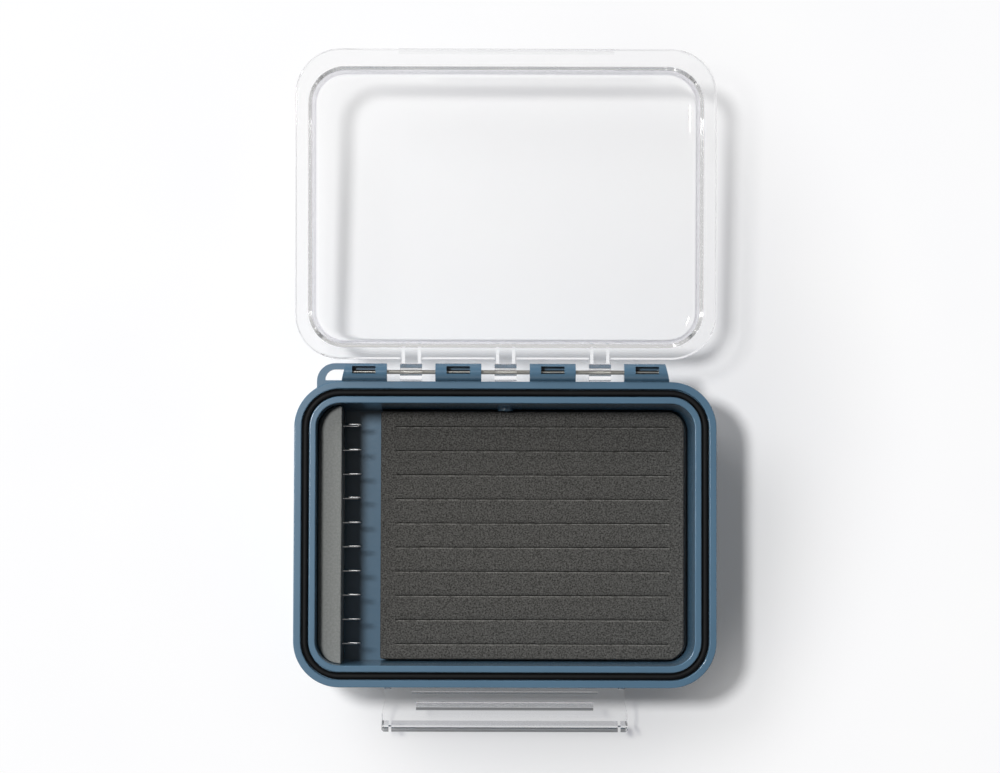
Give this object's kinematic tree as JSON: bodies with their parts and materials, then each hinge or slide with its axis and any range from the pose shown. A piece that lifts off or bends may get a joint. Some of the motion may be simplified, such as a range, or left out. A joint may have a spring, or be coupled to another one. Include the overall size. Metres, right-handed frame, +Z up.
{
  "type": "fly box",
  "caption": "Pocket waterproof fly box opened flat, with a clear hinged lid, a clear full-width latch, a slit foam pad and a rail of wire hooks.",
  "frame": {"origin": "centre of the tray's flat underside", "axes": "+X to the right seen from above, +Y from the latch towards the hinge and the opened lid, +Z up out of the tray"},
  "size_m": [0.15, 0.2428, 0.0441],
  "materials": {
    "tray_plastic": "fine satin, blue-grey",
    "clear_plastic": "clear, polished",
    "gasket_rubber": "matt, dark brown-black",
    "pin_steel": "drawn wire",
    "hook_steel": "bright drawn wire",
    "pad_foam": "fine-grained closed-cell foam, dark grey",
    "rail_foam": "smooth-skinned foam, mid grey",
    "adhesive_sheet": "thin double-sided adhesive"
  },
  "bodies": {
    "base": {"base_tray": "tray_plastic", "rim_gasket": "gasket_rubber", "hinge_pin": "pin_steel", "latch_pin": "pin_steel", "foam_pad": "pad_foam", "foam_adhesive": "adhesive_sheet", "wire_rail": "rail_foam", "rail_adhesive": "adhesive_sheet", "hook_wire_01": "hook_steel", "hook_wire_02": "hook_steel", "hook_wire_03": "hook_steel", "hook_wire_04": "hook_steel", "hook_wire_05": "hook_steel", "hook_wire_06": "hook_steel", "hook_wire_07": "hook_steel", "hook_wire_08": "hook_steel", "hook_wire_09": "hook_steel", "hook_wire_10": "hook_steel"},
    "lid": {"lid": "clear_plastic"},
    "latch": {"latch": "clear_plastic"}
  },
  "joints": [
    {"name": "lid_hinge", "type": "hinge", "parent": "base", "child": "lid", "pos_m": [0, 0.05755, 0.0361], "axis": [1, 0, 0], "range_deg": [0, 176]},
    {"name": "latch_hinge", "type": "hinge", "parent": "base", "child": "latch", "pos_m": [0, -0.0526, 0.0217], "axis": [-1, 0, 0], "range_deg": [0, 112]}
  ]
}
